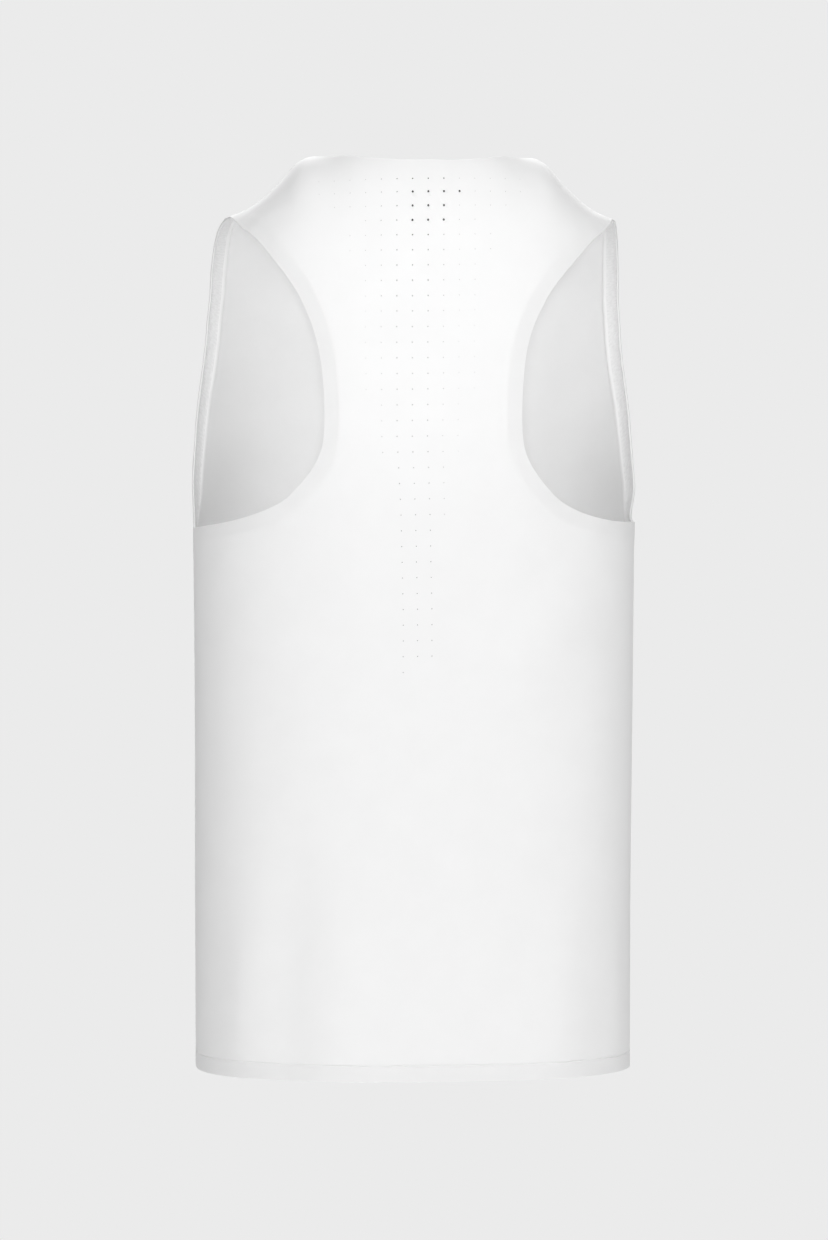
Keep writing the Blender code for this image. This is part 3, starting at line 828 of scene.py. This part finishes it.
def lay_tape(hand):
    """The whole tape of one armhole. hand is -1 on the wearer's left."""
    strip = new_grid(2 * TAPE_STEPS, len(TAPE_ROWS) - 1)
    inner = set(thicken(strip, 1.0))
    ends = [vert for vert in strip.verts if round(vert.co.x) in (0, 2 * TAPE_STEPS)]
    end_faces = [face for face in strip.faces if all(vert in ends for vert in face.verts)]
    halves = {"back": [], "front": []}
    travel = length_along(tape_lines["back"][0])[-1] / TAPE_STEPS
    flat_place = {}
    for vert in strip.verts:
        step, row = round(vert.co.x), round(vert.co.y)
        side = "back" if step <= TAPE_STEPS else "front"
        at = step if side == "back" else 2 * TAPE_STEPS - step
        around, rise = tape_lines[side][row, at]
        height = TAPE_ROWS[row].height * MM if vert in inner else 0
        flat_place[vert] = (step * travel, TAPE_ROWS[row].inside * MM)
        vert.co = (hand * around, rise, -TAPE_BED - height)
        halves[side].append(vert)
    keep_flat_place(strip, flat_place.get)
    for side, verts in halves.items():
        wrap(strip, side, lift=worn_lift, verts=verts)
    bmesh.ops.delete(strip, geom=end_faces, context="FACES_ONLY")
    bmesh.ops.remove_doubles(strip, verts=ends, dist=WELD)
    bmesh.ops.recalc_face_normals(strip, faces=strip.faces)
    return strip


for name, hand in (("left_tape", -1), ("right_tape", 1)):
    tape = lay_tape(hand)
    one_layer(tape)
    pieces[name] = add_piece(name, tape, crease=60)

# %% [markdown]
# ## Flat seams
# The sides and shoulders are joined edge to edge with a flat four-thread seam: two rows of
# stitches, and threads that cross from one row to the other. Each stitch is a small rounded thread
# on the low ridge of the seam. There are about nine hundred, so each has only a few faces. A bump
# texture would do from afar, but it would vanish at the outline.

# %% Sew the seams
STITCH = 3.2 * MM
ROW_OFF = 1.9 * MM  # from the seam to each row of stitches
THREAD = 0.30 * MM  # half its width
FLATTENED = 0.7  # its height to its width
HALF_LENGTH = 0.56  # of a stitch, as a share of its run
BETWEEN = 0.08  # of the seam is left free at each end of a stitch
BY_SIDE, BY_TOP = QUARTER_GIRTH - ROW_OFF, TOP_RISE - ROW_OFF
ROW_ENDS = {
    "side": ((BY_SIDE, 2 * MM), (BY_SIDE, SIDE_SEAM - 1.5 * MM)),
    "shoulder": ((NECK_CORNER[0] + 1.5 * MM, BY_TOP), (SHOULDER_TIP[0] - 1.5 * MM, BY_TOP)),
}


def stitch_row(hand, kind, side, count):
    """Points along a row of stitches, and the way out there."""
    flat = np.linspace(*ROW_ENDS[kind], count) * (hand, 1)
    out = straight_out(side, flat)
    return on_form(side, flat) + out * (stand_off(side, flat) + 0.25 * THREAD)[:, None], out


def one_thread():
    """A rounded stitch of unit size, as a mesh to copy."""
    shape = bmesh.new()
    bmesh.ops.create_uvsphere(shape, u_segments=6, v_segments=4, radius=1)
    return mesh_of("stitch", shape)


def add_thread(sewing, stitch, start, end, out):
    """One stitch from start to end."""
    run = Vector(end - start)
    way = run.normalized()
    side_way = Vector(out).cross(way).normalized()
    turn = Matrix((side_way, way.cross(side_way), way)).transposed().to_4x4()
    size = Matrix.Diagonal((THREAD, THREAD * FLATTENED, run.length * HALF_LENGTH, 1))
    placed = stitch.copy()
    placed.transform(Matrix.Translation(Vector((start + end) / 2)) @ turn @ size)
    sewing.from_mesh(placed)
    bpy.data.meshes.remove(placed)


def sew(kind):
    sewing = bmesh.new()
    stitch = one_thread()
    length = SIDE_SEAM if kind == "side" else SHOULDER_TIP[0] - NECK_CORNER[0]
    count = round(length / STITCH)
    for hand in (-1, 1):
        rows = [stitch_row(hand, kind, side, count) for side in WAY_OUT]
        for points, out in rows:
            for i in range(count - 1):
                gap = BETWEEN * (points[i + 1] - points[i])
                add_thread(sewing, stitch, points[i] + gap, points[i + 1] - gap, out[i])
        (one, out), (other, _) = rows
        for i in range(count - 1):
            first, second = (one[i], other[i + 1]) if i % 2 else (other[i], one[i + 1])
            add_thread(sewing, stitch, first, second, out[i])
    stitches = len(sewing.verts) // len(stitch.vertices)
    bpy.data.meshes.remove(stitch)
    return sewing, stitches


for kind in ("side", "shoulder"):
    sewing, stitches = sew(kind)
    pieces[f"{kind}_stitches"] = add_piece(f"{kind}_stitches", sewing)
    print(f"{kind} seams: {stitches} stitches")

# %% [markdown]
# ## White knit
# The knit is a fine polyester jersey. On its face, columns of small V shapes stand 0.9 mm apart
# and 0.7 mm above each other. The V is drawn by a height that zigzags across a column while it
# climbs, and it feeds only a bump, because the yarn is all one white. A very slow noise makes the
# white a little uneven, as thin cloth is over air. Light goes a little way into the yarn, and
# sheen softens the edges, as fibre ends do.

# %% Helpers for materials
def feed(material, node, inputs):
    """Gives a node's inputs values, or links sockets to them."""
    for key, value in inputs.items():
        if isinstance(value, bpy.types.NodeSocket):
            material.node_tree.links.new(value, node.inputs[key])
        else:
            node.inputs[key].default_value = value


def new_material(name, base, inputs):
    material = bpy.data.materials.new(name)
    material.use_nodes = True
    material.diffuse_color = (*base, 1)
    shader = material.node_tree.nodes["Principled BSDF"]
    feed(material, shader, {"Base Color": (*base, 1), **inputs})
    return material, shader


def add_node(material, kind, inputs=None, **settings):
    """A new node with these settings and inputs."""
    made = material.node_tree.nodes.new(kind)
    for key, value in settings.items():
        setattr(made, key, value)
    feed(material, made, inputs or {})
    return made


def maths(material, operation, *values):
    inputs = dict(enumerate(values))
    return add_node(material, "ShaderNodeMath", inputs, operation=operation).outputs[0]


def in_range(material, value, low, high, to_low=0.0, to_high=1.0, **settings):
    """Maps a value between two limits to between two others."""
    return add_node(material, "ShaderNodeMapRange", {
        "Value": value, "From Min": low, "From Max": high, "To Min": to_low, "To Max": to_high,
    }, **settings).outputs[0]


def flat_place_of(material):
    """The two UV numbers, in metres along and up the flat cut."""
    cut = add_node(material, "ShaderNodeUVMap", uv_map="cut").outputs["UV"]
    parts = add_node(material, "ShaderNodeSeparateXYZ", {0: cut})
    return cut, parts.outputs["X"], parts.outputs["Y"]


def bump(material, shader, height, distance, strength):
    inputs = {"Height": height, "Distance": distance, "Strength": strength}
    made = add_node(material, "ShaderNodeBump", inputs)
    feed(material, shader, {"Normal": made.outputs["Normal"]})


def mix_into(material, output, share, first, second):
    """Sends a mix of two shaders to the output."""
    inputs = {0: share, 1: first.outputs[0], 2: second.outputs[0]}
    blend = add_node(material, "ShaderNodeMixShader", inputs)
    feed(material, output, {"Surface": blend.outputs[0]})


# %% White knit
WALE = 0.9 * MM
COURSE = 0.7 * MM


def make_knit(name, white, strength):
    base = (white, white, white)
    knit, shader = new_material(name, base, {
        "Roughness": 0.85, "Specular IOR Level": 0.25, "Sheen Weight": 0.20,
        "Sheen Roughness": 0.40, "Subsurface Weight": 0.35, "Subsurface Radius": (1, 1, 1),
        "Subsurface Scale": 1.2 * MM,
    })
    cut, along, up = flat_place_of(knit)
    zigzag = maths(knit, "PINGPONG", along, WALE / 2)
    climb = maths(knit, "ADD", up, zigzag)
    loops = maths(knit, "SINE", maths(knit, "MULTIPLY", climb, math.tau / COURSE))
    legs = maths(knit, "SINE", maths(knit, "MULTIPLY", zigzag, math.tau / WALE))
    height = maths(knit, "MULTIPLY_ADD", loops, 0.35, legs)
    bump(knit, shader, height, 0.06 * MM, strength)
    slow = add_node(knit, "ShaderNodeTexNoise", {"Vector": cut, "Scale": 34.0, "Detail": 3.0})
    shade = in_range(knit, slow.outputs["Fac"], 0.3, 0.7, 0.985)
    tone = add_node(knit, "ShaderNodeHueSaturation", {"Value": shade, "Color": (*base, 1)})
    feed(knit, shader, {"Base Color": tone.outputs["Color"]})
    return knit


knit = make_knit("white_knit", 0.90, 0.5)
# Darker copies of the same knit are painted shade: a grey for the cut edges, a darker grey for the
# walls of the holes and a near black for the walls of the darkest holes.
shaded_cut_edge = make_knit("shaded_cut_edge", 0.74, 0.2)
shaded_hole_edge = make_knit("shaded_hole_edge", 0.38, 0.2)
shade_black_hole = make_knit("shade_black_hole", 0.02, 0.2)
print(f"Knit: {MM / WALE:.2f} columns and {MM / COURSE:.2f} rows to the millimetre")

# %% [markdown]
# ## Tape and thread
# The tape is a smooth elastic with a fine cross rib, a little greyer than the knit and with a soft
# shine. Its rib and ridge are painted lighter, a painted highlight. The thread is a bright white
# polyester with a twist.

# %% Tape and thread
FIELD_MIDDLE = 4.6 * MM  # between the rib and the ridge, from the armhole's edge
FIELD_HALF = 4.0 * MM
elastic, shader = new_material("elastic_tape", (0.80, 0.80, 0.805), {
    "Roughness": 0.42, "Specular IOR Level": 0.4, "Sheen Weight": 0.12,
})
cut, along, across = flat_place_of(elastic)
ribs = maths(elastic, "SINE", maths(elastic, "MULTIPLY", along, math.tau / (0.8 * MM)))
grain = add_node(elastic, "ShaderNodeTexNoise", {"Vector": cut, "Scale": 420.0, "Detail": 3.0})
bump(elastic, shader, maths(elastic, "ADD", ribs, grain.outputs["Fac"]), 0.05 * MM, 0.5)
# The rib and the ridge beyond the field are painted a lighter white: a painted highlight.
from_middle = maths(elastic, "ABSOLUTE", maths(elastic, "SUBTRACT", across, FIELD_MIDDLE))
painted_ridge_highlight = in_range(elastic, from_middle, FIELD_HALF - 1 * MM, FIELD_HALF)
field = in_range(elastic, grain.outputs["Fac"], 0.35, 0.65, 0.84, 0.92)
tone = maths(elastic, "MAXIMUM", field, maths(elastic, "MULTIPLY", painted_ridge_highlight, 0.96))
greys = add_node(elastic, "ShaderNodeCombineColor", {"Red": tone, "Green": tone, "Blue": tone})
feed(elastic, shader, {"Base Color": greys.outputs[0]})

thread, shader = new_material("white_thread", (0.88, 0.88, 0.88), {
    "Roughness": 0.55, "Sheen Weight": 0.15,
})
place = add_node(thread, "ShaderNodeTexCoord").outputs["Object"]
waves = {"Vector": place, "Scale": 520.0}
twist = add_node(thread, "ShaderNodeTexWave", waves, bands_direction="DIAGONAL")
bump(thread, shader, twist.outputs["Fac"], 0.05 * MM, 0.6)

FINISHES = {"tape": [elastic], "stitches": [thread]}
for name, piece in pieces.items():
    for finish in FINISHES.get(name.split("_")[1], [knit, shaded_cut_edge, shaded_hole_edge, shade_black_hole]):
        piece.data.materials.append(finish)
print(f"{len(pieces)} pieces have their finish")

# %% [markdown]
# ## Putting the pieces on the body
# Each piece rides on the one body, and the solids that the cloth pieces take the place of are
# hidden.

REPLACED = {
    "back_cloth": "back_panel",
    "front_cloth": "front_panel",
    "back_hem": "hem_back",
    "front_hem": "hem_front",
    "left_tape": "armhole_tape_left",
    "right_tape": "armhole_tape_right",
}
for name, piece in pieces.items():
    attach(piece, "root")
for name, node in REPLACED.items():
    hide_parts(node)

# %% [markdown]
# ## Camera
# A product picture of a garment is taken from a few metres away with a long lens, level with its
# middle, so the outline hardly narrows. The camera stands a little to the wearer's left.

# %% Place the camera
AWAY = 3.0
EYE_HEIGHT = -0.335
TURNED = math.radians(3.5)
camera_data = bpy.data.cameras.new("camera")
camera_data.lens = 110.2
camera_data.sensor_width = 36.0
camera = add_object("camera", camera_data)
camera.location = (-AWAY * math.sin(TURNED), -AWAY * math.cos(TURNED), EYE_HEIGHT)
camera.rotation_euler = (math.pi / 2, 0, -TURNED)
bpy.context.scene.camera = camera
print(f"Camera {AWAY} m away with a {camera_data.lens:.1f} mm lens")

# %% [markdown]
# ## Light and floor
# White cloth on pale grey needs broad, soft light. Wide panels stand at both sides, the right one
# stronger, so the left side falls off into grey. A small key lamp beside the camera lights the
# shoulders and a low panel the hem. One panel hangs above, and one behind shines through the thin
# front. The world is pale to the camera and dimmer to the cloth, so the folds keep their shade,
# and the floor far below fades to the same pale tone.

# %% Light the set
def add_light(name, place, aim, size, power):
    """A panel out of the camera's sight, turned to this height on the middle line."""
    data = bpy.data.lights.new(name, "AREA")
    data.shape = "RECTANGLE"
    data.size, data.size_y = size
    data.energy = power
    lamp = add_object(name, data)
    lamp.location = place
    lamp.visible_camera = False
    way = Vector((0, 0, aim)) - lamp.location
    lamp.rotation_euler = way.to_track_quat("-Z", "Y").to_euler()


PAPER = (0.831, 0.831, 0.831, 1)
AMBIENT = (0.34, 0.34, 0.34, 1)
add_light("key", (-0.19, -3.1, -0.30), -0.08, (0.20, 0.20), 6.2)
bpy.data.lights["key"].spread = math.radians(110)
add_light("low_light", (-0.1, -2.7, -1.15), -0.05, (1.4, 0.4), 8)
add_light("right_light", (2.2, -2.5, 0.8), -0.15, (1.0, 1.6), 23)
add_light("left_light", (-2.2, -2.4, 0.8), -0.15, (1.0, 1.6), 15)
add_light("top_light", (0, -1.6, 2.2), -0.10, (2.0, 1.0), 15)
add_light("far_light", (0.1, 2.6, 1.9), -0.35, (1.6, 1.2), 105)

world = bpy.data.worlds.new("studio")
world.use_nodes = True
bpy.context.scene.world = world
sky = world.node_tree.nodes["Background"]
feed(world, sky, {"Color": AMBIENT})
paper = add_node(world, "ShaderNodeBackground", {"Color": PAPER})
seen = add_node(world, "ShaderNodeLightPath").outputs["Is Camera Ray"]
mix_into(world, world.node_tree.nodes["World Output"], seen, sky, paper)
bpy.context.scene.view_settings.view_transform = "Standard"

# %% Lay the floor
FLOOR_DROP = 0.85
FADES = (0.25, 1.60)  # between these distances from the middle
floor_shape = bmesh.new()
bmesh.ops.create_circle(floor_shape, cap_ends=True, segments=96, radius=4.0)
bmesh.ops.translate(floor_shape, vec=(0, 0, -HELD_HEIGHT - FLOOR_DROP), verts=floor_shape.verts)
floor = add_object("floor", mesh_of("floor", floor_shape))
grey, shader = new_material("floor", (0.80, 0.80, 0.80), {"Roughness": 0.9})
here = add_node(grey, "ShaderNodeTexCoord").outputs["Object"]
flat = add_node(grey, "ShaderNodeVectorMath", {0: here, 1: (1, 1, 0)}, operation="MULTIPLY")
away = add_node(grey, "ShaderNodeVectorMath", {0: flat.outputs[0]}, operation="LENGTH")
fade = in_range(grey, away.outputs["Value"], *FADES, interpolation_type="SMOOTHSTEP")
seen = add_node(grey, "ShaderNodeLightPath").outputs["Is Camera Ray"]
paper = add_node(grey, "ShaderNodeEmission", {"Color": PAPER})
output = grey.node_tree.nodes["Material Output"]
mix_into(grey, output, maths(grey, "MULTIPLY", fade, seen), shader, paper)
floor.data.materials.append(grey)
